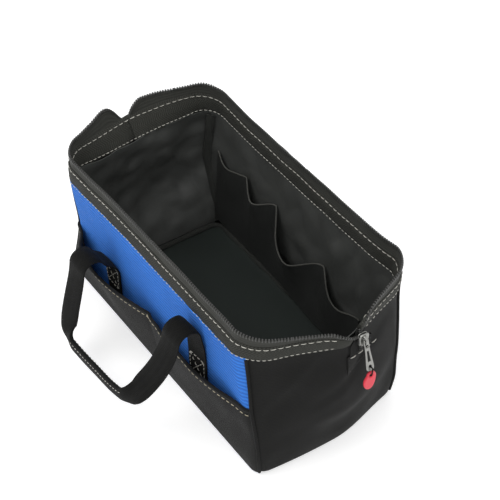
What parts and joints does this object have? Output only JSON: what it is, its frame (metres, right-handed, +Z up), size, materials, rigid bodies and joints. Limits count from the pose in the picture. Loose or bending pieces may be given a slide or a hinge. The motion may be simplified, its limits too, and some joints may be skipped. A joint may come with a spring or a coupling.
{
  "type": "zippered tool bag",
  "caption": "Open-top rectangular cloth tool bag with a hinged wire-framed zip mouth, outer and inner pockets, two webbing handles and a stiff base.",
  "frame": {"origin": "centre of the base, on the surface that the bag stands on", "axes": "+X along the bag towards the parked zip slider, +Y towards the rear wall with the inner pockets, +Z up"},
  "size_m": [0.4009, 0.3256, 0.1778],
  "materials": {
    "blue_cloth": "matt ripstop polyester",
    "black_cloth": "matt woven polyester",
    "lining_cloth": "thin coated lining",
    "webbing": "herringbone webbing",
    "zip": "moulded coil and woven tape",
    "board": "stiff board under the lining",
    "steel": "grey plated metal",
    "red_plastic": "plain smooth pull tag"
  },
  "bodies": {
    "base": {"bottom_panel": "black_cloth", "base_board": "board", "bottom_lining": "lining_cloth", "near_end_panel": "black_cloth", "near_end_lining": "lining_cloth", "far_end_panel": "black_cloth", "far_end_lining": "lining_cloth", "zip_tail": "zip", "zip_end_patch": "black_cloth"},
    "front_wall": {"front_outer_panel": "blue_cloth", "front_lining": "lining_cloth", "front_pocket_panel": "black_cloth", "front_pocket_hem": "black_cloth", "front_near_piping": "black_cloth", "front_far_piping": "black_cloth", "front_near_handle_leg": "webbing", "front_far_handle_leg": "webbing", "front_near_gusset": "black_cloth", "front_near_gusset_lining": "lining_cloth", "front_far_gusset": "black_cloth", "front_far_gusset_lining": "lining_cloth"},
    "rear_wall": {"rear_outer_panel": "blue_cloth", "rear_lining": "lining_cloth", "rear_pocket_panel": "black_cloth", "rear_pocket_hem": "black_cloth", "rear_near_piping": "black_cloth", "rear_far_piping": "black_cloth", "rear_near_handle_leg": "webbing", "rear_far_handle_leg": "webbing", "rear_near_gusset": "black_cloth", "rear_near_gusset_lining": "lining_cloth", "rear_far_gusset": "black_cloth", "rear_far_gusset_lining": "lining_cloth", "inner_pocket_panel": "lining_cloth", "inner_pocket_binding": "webbing"},
    "front_rim": {"front_frame_wire": "steel", "front_outer_band": "webbing", "front_inner_band": "webbing", "front_zip_tape": "zip", "front_zip_teeth": "zip", "near_frame_rivet": "steel", "far_frame_rivet": "steel"},
    "rear_rim": {"rear_frame_wire": "steel", "rear_outer_band": "webbing", "rear_inner_band": "webbing", "rear_zip_tape": "zip", "rear_zip_teeth": "zip"},
    "front_handle": {"front_handle_strap": "webbing"},
    "rear_handle": {"rear_handle_strap": "webbing"},
    "slider": {"slider_body": "steel", "slider_bridge": "steel"},
    "pull": {"pull_tab": "steel"},
    "tag": {"tag_cord": "black_cloth", "pull_tag": "red_plastic"}
  },
  "joints": [
    {"name": "front_fold", "type": "hinge", "parent": "base", "child": "front_wall", "pos_m": [0, -0.083, 0.0029], "axis": [-1, 0, 0], "range_deg": [0, 23.14], "deforming": ["front_near_gusset", "front_near_gusset_lining", "front_far_gusset", "front_far_gusset_lining"]},
    {"name": "rear_fold", "type": "hinge", "parent": "base", "child": "rear_wall", "pos_m": [0, 0.083, 0.0029], "axis": [1, 0, 0], "range_deg": [0, 23.14], "deforming": ["rear_near_gusset", "rear_near_gusset_lining", "rear_far_gusset", "rear_far_gusset_lining"]},
    {"name": "front_rim_fold", "type": "hinge", "parent": "front_wall", "child": "front_rim", "pos_m": [0, -0.08885, 0.14484], "axis": [-1, 0, 0], "range_deg": [0, 53.27]},
    {"name": "rear_rim_fold", "type": "hinge", "parent": "rear_wall", "child": "rear_rim", "pos_m": [0, 0.08885, 0.14484], "axis": [1, 0, 0], "range_deg": [0, 53.27]},
    {"name": "front_handle_swing", "type": "hinge", "parent": "front_wall", "child": "front_handle", "pos_m": [0, -0.12356, 0.11232], "axis": [-0.985, 0.0115, -0.172], "range_deg": [0, 140]},
    {"name": "rear_handle_swing", "type": "hinge", "parent": "rear_wall", "child": "rear_handle", "pos_m": [0, 0.12356, 0.11232], "axis": [0.985, -0.0115, -0.172], "range_deg": [0, 140]},
    {"name": "slider_run", "type": "slide", "parent": "base", "child": "slider", "axis": [0, 0, 1], "range_m": [0, 0.012]},
    {"name": "pull_swing", "type": "hinge", "parent": "slider", "child": "pull", "pos_m": [0.1966, 0.017, 0.1473], "axis": [0, -1, 0], "range_deg": [-11, 148]},
    {"name": "tag_swing", "type": "hinge", "parent": "pull", "child": "tag", "pos_m": [0.20493, 0.017, 0.12036], "axis": [1, 0, 0], "range_deg": [-60, 60]}
  ],
  "couplings": [
    {"joint": "rear_fold", "follows": "front_fold", "ratio": 1},
    {"joint": "front_rim_fold", "follows": "front_fold", "ratio": 2.3},
    {"joint": "rear_rim_fold", "follows": "front_fold", "ratio": 2.3}
  ]
}
